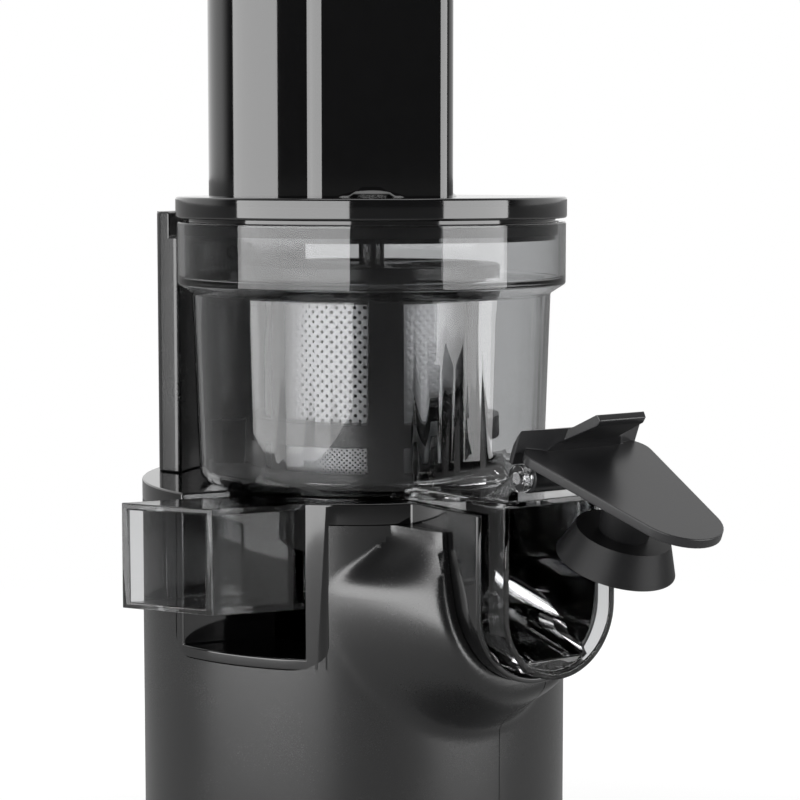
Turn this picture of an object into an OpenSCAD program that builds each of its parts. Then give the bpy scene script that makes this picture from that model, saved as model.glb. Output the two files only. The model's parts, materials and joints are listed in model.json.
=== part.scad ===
// Cold press juicer: upright slow juicer with a clear bowl, drawn in millimetres, +Z up.
// The origin lies on the floor below the middle of the whole outline, with the juice cap open.

/* [Placement] */
// Bowl axis, sideways from the middle of the outline
axis_x = -15.8; // [-60:0.1:60]
// Bowl axis, front to back from the middle of the outline
axis_y = 21.9; // [-60:0.1:60]
// Turn of the juice spout to the right of straight ahead
juice_az = 41; // [30:1:50]
// Turn of the pulp channel to the left of straight ahead
pulp_az = 61; // [56:1:66]

/* [Base] */
// How far the base reaches out past the bowl's collar
base_over = 6.5; // [5:0.5:10]
// How far the base's centre lies behind the bowl axis, away from the juice spout
base_back = 10; // [8:0.5:12]
// Wall of the base shell
shell_wall = 2.8; // [2:0.1:3.4]
// Height of the deck, where the bowl rests
deck_z = 199; // [196:1:210]
// Height of the gloss strip round the deck's edge
strip_h = 6.5; // [5:0.5:8]
// Sideways place of the shell's parting line
parting_x = 7; // [4:0.5:10]
// Radius of a foot
foot_r = 8; // [5:0.5:10]
// Height of a foot
foot_h = 3.5; // [3:0.25:5]
// How far a foot stands below the bottom cover
foot_proud = 2; // [1:0.25:2.5]
// Thickness of the bottom cover
cover_t = 3; // [2.5:0.25:4]

/* [Deck cup] */
// Wall of the deck's cup and of the liners in the two notches
cup_wall = 3.6; // [2.5:0.1:4.5]
// Depth of the cup's floor below the deck
cup_deep = 50; // [48:1:54]
// Thickness of the cup's floor
cup_floor = 3; // [2:0.25:4]
// Gap between the cup and the bowl's lower parts
cup_gap = 2; // [1.5:0.1:3]
// Outer radius of the hub round the drive shaft
hub_r = 14; // [13:0.5:16]
// Height of the hub above the cup's floor
hub_h = 11; // [9:0.5:14]

/* [Nose] */
// Distance from the bowl axis to the front of the matte nose below the juice spout
nose_out = 70; // [66:1:74]
// Wall of the matte nose
nose_wall = 2.4; // [1.8:0.1:3]
// Distance from the bowl axis to the front of the gloss sleeve
sleeve_out = 85; // [78:1:88]
// Wall of the gloss sleeve
sleeve_wall = 1.8; // [1.4:0.1:2.4]
// Gap between the gloss sleeve and the juice spout
sleeve_gap = 0.8; // [0.5:0.1:1.2]

/* [Bowl] */
// How far the bowl's wall at the deck lies inside the collar's face
foot_in = 6.5; // [5:0.5:8]
// How far the bowl's wall below the collar lies inside the collar's face
top_in = 4.7; // [3.5:0.1:5.5]
// Wall of the bowl
bowl_wall = 2.2; // [1.8:0.1:2.6]
// Outer radius of the collar
collar_r = 61; // [60:0.25:63]
// Height of the collar's lower edge above the deck
collar_low = 59; // [56:1:62]
// Height of the collar's upper edge above the deck
collar_top = 81.3; // [79:0.1:84]
// Inner radius of the pulp chamber below the bowl's floor
well_r = 33.6; // [33:0.1:35]
// Depth of the pulp chamber below the deck
well_deep = 32.5; // [30:0.5:34]
// Floor thickness of the bowl
bowl_floor = 2; // [1.6:0.1:2.6]
// Radius of the bore for the auger's neck
bowl_bore_r = 12.6; // [12.2:0.1:14]

/* [Pulp spout] */
// Near side wall of the pulp channel, from the bowl axis
pulp_near = 40; // [38:0.5:42]
// Outer width of the pulp channel
pulp_w = 24; // [20:0.5:26]
// Outer height of the pulp channel
pulp_h = 31.5; // [28:0.5:33]
// Reach of the channel's near corner from the bowl axis
pulp_reach = 67.5; // [64:0.5:72]
// Angle of the mouth's cut
pulp_cut = 40; // [30:1:50]
// Wall of the pulp channel
pulp_wall = 2; // [1.6:0.1:2.4]

/* [Juice spout] */
// Half of the juice spout's outer width
spout_half = 20.5; // [19.5:0.5:21.5]
// Distance from the bowl axis to the spout's mouth
spout_out = 94; // [90:1:98]
// Top of the juice spout above the deck
spout_top = 4.4; // [3.6:0.2:6]
// Depth of the spout's round bottom below the deck
spout_deep = 48.5; // [46:0.5:50]
// Wall of the juice spout
spout_wall = 2; // [1.6:0.1:2.4]

/* [Strainer and wiper] */
// Outer radius of the strainer frame
strainer_r = 36; // [35.5:0.1:36.2]
// Radial thickness of the strainer's frame
strainer_wall = 2.6; // [2:0.1:2.8]
// Thickness of the perforated sheet
mesh_t = 0.8; // [0.6:0.1:1]
// Height of the strainer
strainer_h = 61; // [56:1:62]
// Height of the fine band above the strainer's foot
fine_h = 9.5; // [8:0.5:12]
// Height of the plain band above the fine one
band_h = 7; // [5:0.5:8]
// Number of ribs of the strainer
rib_n = 6; // [4:1:8]
// Inner radius of the wiper frame
wiper_in = 37.4; // [37:0.1:38]
// Radial thickness of the wiper frame
wiper_t = 3; // [2:0.1:3.4]
// Number of wiper posts
post_n = 3; // [2:1:4]

/* [Auger] */
// Outer radius of the auger's flights
auger_r = 30; // [28:0.25:31]
// Radius of the auger's core
auger_core_r = 17; // [16:0.5:20]
// Height of the wiper's spider above the auger's flights
head_room = 5.8; // [4:0.2:9]
// Number of flights
flight_n = 3; // [2:1:4]
// Turn of the flights over their height
flight_twist = 300; // [200:10:400]
// Radius of the neck that passes through the bowl's floor
neck_r = 10.5; // [10.2:0.1:11]

/* [Lid and chute] */
// How far the lid reaches out past the collar
lid_over = 0.3; // [0.1:0.1:2]
// Height of the lid's rim
lid_rim_h = 6.6; // [5:0.2:8]
// Thickness of the lid's plate
lid_t = 3.2; // [2.6:0.2:4]
// Gap between the lid's rim and the collar
lid_gap = 1.1; // [0.6:0.1:2]
// Height of the chute above the lid
chute_h = 112; // [100:1:125]
// Wall of the chute
chute_wall = 2.4; // [2:0.1:3]
// Radius of the chute's round part
chute_r = 24.5; // [23:0.5:25]
// Sideways place of the round part
chute_x = -26.5; // [-28:0.5:-25]
// Sideways reach of the chute's box part
chute_box_x = 25; // [23:0.5:26]
// Front and rear reach of the chute's box part
chute_box_y = 25.5; // [24.5:0.5:26]

/* [Juice cap] */
// Distance of the cap's hinge past the spout's mouth
hinge_past = 3.5; // [3:0.25:6]
// Height of the hinge above the deck
hinge_up = 11.5; // [10:0.5:14]
// Angle of the open cap below level
cap_open = 21; // [15:1:30]
// Length of the cap's plate
cap_len = 57.6; // [54:0.1:62]
// Width of the cap's plate at the hinge
cap_w = 44; // [40:1:46]
// Height of the middle of the cap's plate over the hinge pin
cap_rise = 8.4; // [7.5:0.1:10]
// Thickness of the cap's plate
cap_t = 2.8; // [2.2:0.1:3.4]
// Radius of the stopper's skirt
stopper_r = 17; // [15:0.5:17]
// Width of the thumb lever at its tip
lever_w = 16; // [12:1:20]

/* [Tower] */
// Turn of the tower from straight ahead, past the right side and the rear
tower_az = 236; // [226:1:240]
// Half of the tower's width
tower_half = 31; // [24:1:34]
// Height of the tower above the deck
tower_h = 84; // [81:1:88]
// How far the tower is set in from the base's side
tower_in = 3.2; // [2:0.2:5]
// Gap between the tower and the collar
tower_gap = 1.6; // [1:0.1:2.4]
// Wall of the tower
tower_wall = 2.2; // [1.8:0.1:2.6]

/* [Drive] */
// Module of the gears
gear_m = 1.25; // [1.1:0.05:1.3]
// Height of the planet gears
gear_h = 12; // [10:0.5:14]
// Outer radius of the gearbox
gearbox_r = 36; // [35.5:0.25:38]
// Height of the gearbox below its cover
gearbox_h = 34; // [32:1:38]
// Radius of the motor
motor_r = 30; // [26:0.5:32]
// Height of the motor above the bottom cover
motor_rise = 31; // [24:1:44]
// Radius of the motor's shaft
motor_shaft_r = 3; // [2.5:0.25:4]
// Radius of the output shaft
shaft_r = 8; // [7:0.25:8.5]
// Width across flats of the hexagonal drive
hex_af = 13; // [11:0.5:13.5]
// Running clearance of a shaft
shaft_fit = 0.05; // [0.03:0.01:0.1]

/* [Hidden] */
$fn = 96;

// Overrun of every cut
over = 1;
// Gap between fixed pieces that only lie beside each other
seat_gap = 0.15;
// Running gap between pieces that turn or slide past each other
run_gap = 0.5;
// Gap under the bowl's foot
rest_gap = 0.05;

base_r = collar_r + base_over;
bowl_foot_r = collar_r - foot_in;
bowl_top_r = collar_r - top_in;
lid_r = collar_r + lid_over;
hinge_out = spout_out + hinge_past;
strip_z = deck_z - strip_h;
cup_z = deck_z - cup_deep;
cup_under = cup_z - cup_floor;
cover_z = foot_proud;
cover_top = cover_z + cover_t;
spout_round_z = deck_z - spout_deep + spout_half;
well_z = deck_z - well_deep;
floor_z = deck_z + bowl_floor;
collar_z = deck_z + collar_top;
lid_rim_z = collar_z + lid_gap;
lid_z = lid_rim_z + lid_rim_h;
chute_z = lid_z + chute_h;
collar_in = collar_r - bowl_wall;
plate_z = lid_z - lid_t;

// Radius at which a boss of the shell stands from the base's centre, and its sizes
boss_r = 4;
boss_bore_r = 1.4;
boss_h = 18;
boss_sink = 1;
boss_place = base_r - shell_wall - boss_r + boss_sink;
boss_angles = [15, 58, 100, 195, 255];
screw_head_r = 2.8;
screw_head_h = 1.6;

// Frames of reference
module at_axis() {
    translate([axis_x, axis_y, 0])
        children();
}

module at_juice() {
    at_axis()
        rotate([0, 0, juice_az])
            children();
}

module at_base() {
    at_juice()
        translate([0, base_back, 0])
            children();
}

module at_pulp() {
    at_axis()
        rotate([0, 0, -pulp_az])
            children();
}

module at_tower() {
    at_axis()
        rotate([0, 0, tower_az])
            children();
}

// General shapes
module tube(outer, inner, h) {
    difference() {
        cylinder(r = outer, h = h);
        translate([0, 0, -over])
            cylinder(r = inner, h = h + 2 * over);
    }
}

module block(low, high) {
    translate(low)
        cube(high - low);
}

module hexagon(af) {
    circle(r = af / sqrt(3), $fn = 6);
}

module rounded_rect(low, high, r) {
    difference() {
        translate(low)
            square(high - low);
        for (i = [0, 1], j = [0, 1])
            corner_cut([i ? high[0] : low[0], j ? high[1] : low[1]], [i ? -1 : 1, j ? -1 : 1], r);
    }
}

module corner_cut(corner, inward, r) {
    difference() {
        translate(corner + [for (k = inward) (k < 0 ? -r : -over)])
            square(r + over);
        translate(corner + r * inward)
            circle(r = r);
    }
}

// The U outline of the juice spout, in its own plane, with y as height above the floor
module spout_outline(grow) {
    half = spout_half + grow;
    top = deck_z + spout_top + grow;
    translate([0, spout_round_z])
        circle(r = half);
    translate([-half, spout_round_z])
        square([2 * half, top - spout_round_z]);
}

// The U outline drawn out from the bowl axis between two distances
module spout_prism(grow, near, far) {
    at_juice()
        translate([0, -near, 0])
            rotate([90, 0, 0])
                linear_extrude(far - near)
                    spout_outline(grow);
}

// The slot of the juice spout through the shell and the deck, open at the top
module spout_slot(grow, near, far) {
    half = spout_half + grow;
    spout_prism(grow, near, far);
    at_juice()
        block([-half, -far, spout_round_z], [half, -near, deck_z + spout_top + grow + over]);
}

// The pulp channel's prism, from the bowl axis to its slanted mouth
module pulp_prism(grow, low, high, reach) {
    near = pulp_near + grow;
    far = pulp_near - pulp_w - grow;
    slant = (near - far) * tan(pulp_cut);
    at_pulp()
        translate([0, 0, low])
            linear_extrude(high - low)
                polygon([[near, 0], [near, -reach], [far, -reach - slant], [far, 0]]);
}

// The slot of the pulp channel through the shell and the deck
pulp_slot_near = 5.5;
pulp_slot_far = 6;
module pulp_slot(grow, low) {
    near = pulp_near + pulp_slot_near + grow;
    far = pulp_near - pulp_w - pulp_slot_far - grow;
    at_pulp()
        block([far, -base_r - base_back - over, low - grow], [near, 0, deck_z + over]);
}
pulp_slot_z = cup_z + cup_wall;

// Involute gear outline
pressure = 20;
flank_steps = 4;
backlash_share = 0.1;
addendum_share = 0.8;
dedendum_share = 1.15;

function involute(a) = tan(a) - a * PI / 180;
function half_tooth(n, r, m) =
    let (base = m * n / 2 * cos(pressure))
    let (a = acos(min(1, base / r)))
    90 / n * (1 - backlash_share) + (involute(pressure) - involute(a)) * 180 / PI;
function flank(n, m, low, high, side) = [
    for (i = [0:flank_steps])
        let (k = side > 0 ? flank_steps - i : i)
        let (r = low + (high - low) * k / flank_steps)
        let (a = -side * -half_tooth(n, r, m))
        [r, a]
];
function tooth(n, m, add, ded, turn) =
    let (root = m * n / 2 - ded * m)
    let (base = m * n / 2 * cos(pressure))
    let (low = max(root, base))
    let (tip = m * n / 2 + add * m)
    let (rising = flank(n, m, low, tip, -1))
    let (falling = flank(n, m, low, tip, 1))
    let (first = [root, rising[0][1]])
    let (last = [root, falling[flank_steps][1]])
    [for (p = concat([first], rising, falling, [last])) [p[0] * cos(p[1] + turn), p[0] * sin(p[1] + turn)]];

module gear_outline(n, m, add, ded) {
    polygon([for (i = [0:n - 1]) each tooth(n, m, add, ded, i * 360 / n)]);
}

sun_n = 12;
planet_n = 18;
ring_n = sun_n + 2 * planet_n;
planet_count = 3;
planet_place = gear_m * (sun_n + planet_n) / 2;

// Heights of the drive, from the deck cup's floor down
gear_cover_t = 4;
gear_cover_z = cup_under - gear_cover_t;
gearbox_z = gear_cover_z - gearbox_h;
gearbox_floor = 3;
planet_z = gearbox_z + gearbox_floor + 5 * run_gap;
carrier_t = 3;
carrier_z = planet_z + gear_h + run_gap;
bearing_r = 2 * shaft_r;
bearing_h = 7;
shaft_wear = 1.2;
bearing_z = gear_cover_z + gear_cover_t - bearing_h - shaft_wear;
motor_z = cover_top + motor_rise;
motor_h = gearbox_z - motor_z;
motor_plate_t = 3;
endcap_h = 6;
motor_bearing_r = 8;
motor_bearing_h = 4;
hex_z = cup_z + hub_h + shaft_wear;
hex_reach = 24;
hex_top = well_z + hex_reach;
socket_gap = 0.2;

foot_place = base_r - shell_wall - foot_r - 3 * boss_r;
module feet() {
    color("#202020")
        at_base()
            for (i = [0:3])
                rotate([0, 0, 45 + 90 * i])
                    translate([foot_place, 0, 0])
                        cylinder(r = foot_r, h = foot_h);
}

vent_w = 3;
vent_n = 10;
vent_in = 12;
vent_out = 28;

module bottom_cover() {
    color("#2c2d2e")
        at_base()
            difference() {
                translate([0, 0, cover_z])
                    cylinder(r = base_r - shell_wall - seat_gap, h = cover_t);
                for (i = [0:3])
                    rotate([0, 0, 45 + 90 * i])
                        translate([foot_place, 0, 0])
                            cylinder(r = foot_r + seat_gap, h = foot_h);
                for (a = boss_angles)
                    rotate([0, 0, a])
                        translate([boss_place, 0, 0]) {
                            cylinder(r = boss_bore_r + seat_gap, h = cover_top + over);
                            cylinder(r = screw_head_r + seat_gap, h = cover_z + screw_head_h);
                        }
                for (i = [0:vent_n - 1])
                    rotate([0, 0, 360 * i / vent_n])
                        block([vent_in, -vent_w / 2, 0], [vent_out, vent_w / 2, cover_top + over]);
            }
}

module bottom_screws() {
    screw_len = boss_h - screw_head_h;
    color("silver")
        at_base()
            for (a = boss_angles)
                rotate([0, 0, a])
                    translate([boss_place, 0, cover_z]) {
                        cylinder(r = screw_head_r, h = screw_head_h);
                        cylinder(r = boss_bore_r, h = screw_len);
                    }
}

rear_az = 139;
switch_z = 34;
switch_w = 13;
switch_h = 20;
inlet_r = 5;
inlet_z = 20;
inlet_turn = 24;

module at_rear(turn, z) {
    at_axis()
        rotate([0, 0, juice_az])
            translate([0, base_back, z])
                rotate([0, 0, rear_az + turn])
                    children();
}

module shell_solid() {
    difference() {
        union() {
            at_base()
                translate([0, 0, cover_z]) {
                    tube(base_r, base_r - shell_wall, strip_z - cover_z);
                    for (a = boss_angles)
                        rotate([0, 0, a])
                            translate([boss_place, 0, cover_t])
                                cylinder(r = boss_r, h = boss_h);
                }
            spout_prism(sleeve_gap + sleeve_wall + seat_gap + nose_wall,
                base_r - base_back - shell_wall * 2, nose_out);
        }
        spout_slot(sleeve_gap + sleeve_wall + seat_gap, 0, nose_out + over);
        pulp_slot(cup_wall + seat_gap, pulp_slot_z);
        at_base() {
            translate([0, 0, strip_z])
                cylinder(r = 2 * base_r, h = deck_z);
            translate([0, 0, cover_top - over])
                cylinder(r = motor_r + 4 * boss_r, h = strip_z);
            for (a = boss_angles)
                rotate([0, 0, a])
                    translate([boss_place, 0, 0])
                        cylinder(r = boss_bore_r, h = cover_top + boss_h - shell_wall);
        }
        at_rear(0, switch_z)
            block([-switch_w / 2 - seat_gap, -base_r - over, -seat_gap],
                [switch_w / 2 + seat_gap, -base_r + 4 * shell_wall, switch_h + seat_gap]);
        at_rear(inlet_turn, inlet_z)
            rotate([90, 0, 0])
                cylinder(r = inlet_r + seat_gap, h = base_r + over);
    }
}

module shell_half(front) {
    big = 2 * base_r;
    at_base()
        block([front ? -big : parting_x, -big, 0], [front ? parting_x : big, big, deck_z]);
}

module shell_front() {
    color("#3a3b3d")
        intersection() {
            shell_solid();
            shell_half(true);
        }
}

module shell_rear() {
    color("#3a3b3d")
        intersection() {
            shell_solid();
            shell_half(false);
        }
}

cup_r = well_r + bowl_wall + cup_gap;

module deck() {
    lip = sleeve_gap + sleeve_wall;
    color("#0c0c0d")
        difference() {
            union() {
                at_base() {
                    translate([0, 0, strip_z])
                        cylinder(r = base_r, h = strip_h);
                    translate([0, 0, strip_z - shell_wall])
                        cylinder(r = base_r - shell_wall - seat_gap, h = shell_wall + over);
                }
                at_axis()
                    translate([0, 0, cup_under])
                        cylinder(r = cup_r + cup_wall, h = deck_z - cup_under);
                intersection() {
                    at_base()
                        cylinder(r = base_r, h = deck_z);
                    pulp_slot(cup_wall, pulp_slot_z);
                }
                difference() {
                    spout_slot(lip, 0, sleeve_out);
                    at_base()
                        translate([0, 0, deck_z])
                            cylinder(r = 2 * base_r, h = deck_z);
                }
            }
            at_axis()
                translate([0, 0, cup_z])
                    cylinder(r = cup_r, h = deck_z);
            pulp_slot(0, pulp_slot_z);
            spout_slot(sleeve_gap, 0, sleeve_out + over);
            at_axis()
                translate([0, 0, cup_under - over])
                    cylinder(r = hub_r - cup_floor, h = deck_z);
            at_tower()
                tower_cable_hole();
        }
    color("#0c0c0d")
        at_axis()
            translate([0, 0, cup_under])
                tube(hub_r, shaft_r + shaft_wear, cup_floor);
    color("#0c0c0d")
        at_axis()
            translate([0, 0, cup_z])
                tube(hub_r, hub_r - cup_floor, hub_h);
}

cable_hole_r = 3;
module tower_cable_hole() {
    translate([0, -switch_back + 2 * cable_hole_r, strip_z - over - shell_wall])
        cylinder(r = cable_hole_r, h = strip_h + shell_wall + 2 * over);
}

// The tower's outline on the deck, grown or shrunk
module tower_outline(inset) {
    outer = base_r - tower_in - inset;
    inner = collar_r + tower_gap + inset;
    half = tower_half - inset;
    difference() {
        intersection() {
            rotate(juice_az - tower_az)
                translate([0, base_back])
                    circle(r = outer);
            translate([-half, -base_r - base_back])
                square([2 * half, base_r + base_back]);
        }
        circle(r = inner);
    }
}

recess_h = 8;
recess_in = 3.6;
tower_top = deck_z + tower_h;

module tower_shell() {
    color("#3a3b3d")
        at_tower()
            difference() {
                translate([0, 0, deck_z])
                    linear_extrude(tower_h)
                        tower_outline(0);
                translate([0, 0, deck_z - over])
                    linear_extrude(tower_h - tower_wall + over - recess_h)
                        tower_outline(tower_wall);
                translate([0, 0, tower_top - recess_h])
                    cylinder(r = collar_r + tower_gap + recess_in, h = recess_h + over);
                translate([0, 0, plunger_z])
                    rotate([90, 0, 0])
                        cylinder(r = plunger_r + shaft_fit,
                            h = collar_r + tower_gap + recess_in + 2 * tower_wall);
            }
}

trim_h = 9;
trim_t = 1.6;
module tower_trim() {
    color("#0c0c0d")
        at_tower()
            difference() {
                translate([0, 0, deck_z])
                    linear_extrude(trim_h)
                        difference() {
                            intersection() {
                                rotate(juice_az - tower_az)
                                    translate([0, base_back])
                                        circle(r = base_r - tower_in + trim_t);
                                translate([-tower_half - trim_t, -base_r - base_back])
                                    square([tower_half + trim_t, base_r]);
                            }
                            tower_outline(-seat_gap);
                            circle(r = collar_r + tower_gap);
                        }
            }
}

plunger_r = 2;
plunger_len = 4;
tower_lean = tower_az - juice_az - 180;
tower_back = base_back * cos(tower_lean)
    + sqrt((base_r - tower_in) ^ 2 - (base_back * sin(tower_lean)) ^ 2);
switch_back = tower_back - tower_wall - seat_gap;
plunger_z = tower_top - recess_h - tower_wall - 2 * plunger_r;
plunger_travel = 2;
plunger_skin = 0.8;
plunger_play = 0.15;
spring_r = 1.3;

module lock_plunger() {
    face = collar_r + tower_gap;
    color("#555555")
        at_tower()
            translate([0, -face + plunger_travel / 2, plunger_z])
                rotate([90, 0, 0])
                    difference() {
                        cylinder(r = plunger_r, h = plunger_len);
                        translate([0, 0, plunger_skin])
                            cylinder(r = spring_r + plunger_play, h = plunger_len);
                    }
}

// It stands in the plunger's bore, as long as it is when pressed.
module plunger_spring() {
    face = collar_r + tower_gap;
    start = face + plunger_travel / 2 + plunger_skin + run_gap;
    color("silver")
        at_tower()
            translate([0, -start, plunger_z])
                rotate([90, 0, 0])
                    tube(spring_r, spring_r - run_gap, plunger_len - plunger_skin);
}

module lock_switch() {
    face = collar_r + tower_gap;
    tail = face - plunger_travel / 2 + plunger_len + plunger_travel + run_gap;
    wide = 3 * plunger_r;
    color("#222222")
        at_tower()
            block([-wide, -switch_back + 1.5 * run_gap, plunger_z - wide],
                [wide, -tail, plunger_z + plunger_r]);
}

module control_board() {
    board_t = 1.6;
    board_w = 44;
    board_d = 20;
    part_h = 9;
    board_z = cover_top + boss_h / 3;
    place = base_r - shell_wall - 3 * boss_r;
    color("#1f5a3a")
        at_base()
            translate([0, 0, board_z])
                block([-board_w / 2, place - board_d - over, 0], [board_w / 2, place - over, board_t]);
    color("#333333")
        at_base()
            translate([0, 0, board_z + board_t])
                for (i = [-1, 0, 1])
                    translate([i * board_w / 3, place - board_d / 2, 0])
                        cylinder(r = board_d / 5, h = part_h);
    color("#333333")
        at_base()
            for (i = [-1, 1])
                translate([i * board_w / 3, place - board_d / 2, cover_top])
                    cylinder(r = boss_r / 2, h = board_z - cover_top);
}

module cord_inlet() {
    color("#161616")
        at_rear(inlet_turn, inlet_z)
            rotate([90, 0, 0]) {
                translate([0, 0, base_r - 3 * shell_wall])
                    tube(inlet_r, inlet_r - shell_wall / 2, 3 * shell_wall + shell_wall / 4);
            }
}

bezel_t = 1.6;
rocker_tilt = 8;

module switch_bezel() {
    inner = base_r - 3 * shell_wall;
    color("#101010")
        at_rear(0, switch_z)
            difference() {
                block([-switch_w / 2, -base_r - bezel_t / 2, 0], [switch_w / 2, -inner, switch_h]);
                block([-switch_w / 2 + bezel_t, -base_r - over - bezel_t, bezel_t],
                    [switch_w / 2 - bezel_t, -inner - bezel_t, switch_h - bezel_t]);
            }
}

module rocker() {
    half = switch_h / 2 - bezel_t - 3 * seat_gap;
    wide = switch_w / 2 - bezel_t - 2 * seat_gap;
    thick = 2.4;
    color("#181818")
        at_rear(0, switch_z + switch_h / 2)
            translate([0, -base_r + bezel_t * 2, 0])
                rotate([-rocker_tilt, 0, 0])
                    difference() {
                        block([-wide, -thick, -half], [wide, 0, half]);
                        translate([-wide - over, -half * 2 - thick + run_gap, 0])
                            rotate([0, 90, 0])
                                cylinder(r = half * 2, h = 2 * (wide + over));
                    }
}

module motor_can() {
    color("#8b8f94")
        at_axis()
            difference() {
                translate([0, 0, motor_z])
                    cylinder(r = motor_r, h = motor_h);
                translate([0, 0, motor_z - over])
                    cylinder(r = motor_r - motor_plate_t / 2, h = motor_h - motor_plate_t + over);
                translate([0, 0, motor_z])
                    cylinder(r = motor_shaft_r + run_gap, h = motor_h + over);
            }
    color("#8b8f94")
        at_axis()
            translate([0, 0, gearbox_z - motor_plate_t - motor_bearing_h])
                tube(motor_bearing_r + motor_plate_t / 2, motor_bearing_r, motor_bearing_h);
}

module motor_endcap() {
    color("#202224")
        at_axis()
            difference() {
                union() {
                    translate([0, 0, motor_z - endcap_h / 2])
                        cylinder(r = motor_r, h = endcap_h / 2);
                    translate([0, 0, motor_z - endcap_h / 2])
                        cylinder(r = motor_r - motor_plate_t / 2 - seat_gap, h = endcap_h);
                }
                translate([0, 0, motor_z])
                    cylinder(r = motor_r - 2 * motor_plate_t, h = endcap_h);
                translate([0, 0, motor_z - endcap_h])
                    cylinder(r = motor_shaft_r + run_gap, h = 2 * endcap_h);
                for (i = [0:5])
                    rotate([0, 0, 60 * i])
                        block([motor_bearing_r + 2 * bezel_t, -bezel_t, motor_z - endcap_h],
                            [motor_r - 2 * motor_plate_t, bezel_t, motor_z + endcap_h]);
            }
    color("#202224")
        at_axis()
            translate([0, 0, motor_z])
                tube(motor_bearing_r + motor_plate_t / 2, motor_bearing_r, motor_bearing_h);
}

module motor_bearings() {
    color("silver")
        at_axis()
            for (z = [motor_z, gearbox_z - motor_plate_t - motor_bearing_h])
                translate([0, 0, z])
                    tube(motor_bearing_r, motor_shaft_r + shaft_fit, motor_bearing_h);
}

rotor_r = 20;
commutator_r = 9;
module rotor() {
    low = motor_z + motor_bearing_h + 2 * run_gap;
    high = gearbox_z - motor_plate_t - motor_bearing_h - 2 * run_gap;
    commutator_h = (high - low) / 6;
    color("#b06a3a")
        at_axis()
            union() {
                translate([0, 0, motor_z + run_gap])
                    cylinder(r = motor_shaft_r, h = planet_z + gear_h - motor_z);
                translate([0, 0, low])
                    cylinder(r = commutator_r, h = commutator_h);
                translate([0, 0, low + commutator_h])
                    cylinder(r = rotor_r, h = high - low - commutator_h);
            }
}

module sun_gear() {
    color("#c9a84e")
        at_axis()
            translate([0, 0, planet_z])
                linear_extrude(gear_h)
                    difference() {
                        gear_outline(sun_n, gear_m, addendum_share, dedendum_share);
                        circle(r = motor_shaft_r);
                    }
}

pin_r = 3;
module planet(i) {
    color("#e8e4d8")
        at_axis()
            rotate([0, 0, 360 * i / planet_count])
                translate([planet_place, 0, planet_z])
                    rotate([0, 0, 180 / planet_n])
                        linear_extrude(gear_h)
                            difference() {
                                gear_outline(planet_n, gear_m, addendum_share, dedendum_share);
                                circle(r = pin_r + shaft_fit);
                            }
}

module planet_1() {
    planet(0);
}

module planet_2() {
    planet(1);
}

module planet_3() {
    planet(2);
}

module planet_pins() {
    color("silver")
        at_axis()
            for (i = [0:planet_count - 1])
                rotate([0, 0, 360 * i / planet_count])
                    translate([planet_place, 0, planet_z - run_gap])
                        cylinder(r = pin_r, h = carrier_z + carrier_t - planet_z + run_gap);
}

module carrier() {
    disc_r = planet_place + 2 * pin_r;
    color("#9a9da1")
        at_axis()
            union() {
                difference() {
                    translate([0, 0, carrier_z])
                        cylinder(r = disc_r, h = carrier_t);
                    for (i = [0:planet_count - 1])
                        rotate([0, 0, 360 * i / planet_count])
                            translate([planet_place, 0, carrier_z - over])
                                cylinder(r = pin_r, h = carrier_t + 2 * over);
                }
                translate([0, 0, carrier_z])
                    cylinder(r = shaft_r, h = hex_z - carrier_z);
                translate([0, 0, hex_z])
                    linear_extrude(hex_top - hex_z)
                        hexagon(hex_af);
            }
}

module gearbox_housing() {
    ring_gap = dedendum_share + backlash_share;
    inner = gear_m * ring_n / 2 + ring_gap * gear_m;
    color("#6f7377")
        at_axis()
            difference() {
                translate([0, 0, gearbox_z])
                    cylinder(r = gearbox_r, h = gearbox_h);
                translate([0, 0, planet_z - 3 * run_gap])
                    linear_extrude(gearbox_h)
                        rotate([0, 0, 180 / ring_n])
                            gear_outline_inner(ring_n, gear_m);
                translate([0, 0, planet_z + gear_h + run_gap])
                    cylinder(r = inner, h = gearbox_h);
                translate([0, 0, gearbox_z - over])
                    cylinder(r = motor_bearing_r, h = gearbox_h);
            }
}

// The hollow of the ring gear, with its gaps a little wider than the planets' teeth
module gear_outline_inner(n, m) {
    polygon([for (i = [0:n - 1]) each tooth_gap(n, m, i * 360 / n)]);
}
function tooth_gap(n, m, turn) =
    let (root = m * n / 2 - addendum_share * m)
    let (tip = m * n / 2 + dedendum_share * m)
    let (wide = 2 * backlash_share * 90 / n)
    let (rising = flank(n, m, max(root, m * n / 2 * cos(pressure)), tip, -1))
    let (falling = flank(n, m, max(root, m * n / 2 * cos(pressure)), tip, 1))
    concat(
        [for (p = rising) [p[0] * cos(p[1] - wide + turn), p[0] * sin(p[1] - wide + turn)]],
        [for (p = falling) [p[0] * cos(p[1] + wide + turn), p[0] * sin(p[1] + wide + turn)]]
    );

cover_screw_r = 1.5;
cover_screw_place = gearbox_r - 2 * cover_screw_r;

module gearbox_cover() {
    hub = bearing_r + gear_cover_t;
    low = bearing_z - shaft_wear;
    color("#6f7377")
        at_axis()
            difference() {
                union() {
                    translate([0, 0, gear_cover_z])
                        cylinder(r = gearbox_r, h = gear_cover_t);
                    translate([0, 0, bearing_z])
                        cylinder(r = hub, h = gear_cover_z - bearing_z + over);
                }
                translate([0, 0, low])
                    cylinder(r = bearing_r, h = bearing_h + shaft_wear);
                translate([0, 0, low])
                    cylinder(r = shaft_r + run_gap, h = 2 * gear_cover_t + bearing_h);
                for (i = [0:3])
                    rotate([0, 0, 45 + 90 * i])
                        translate([cover_screw_place, 0, low])
                            cylinder(r = cover_screw_r, h = 2 * bearing_h + gear_cover_t);
            }
}

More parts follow.
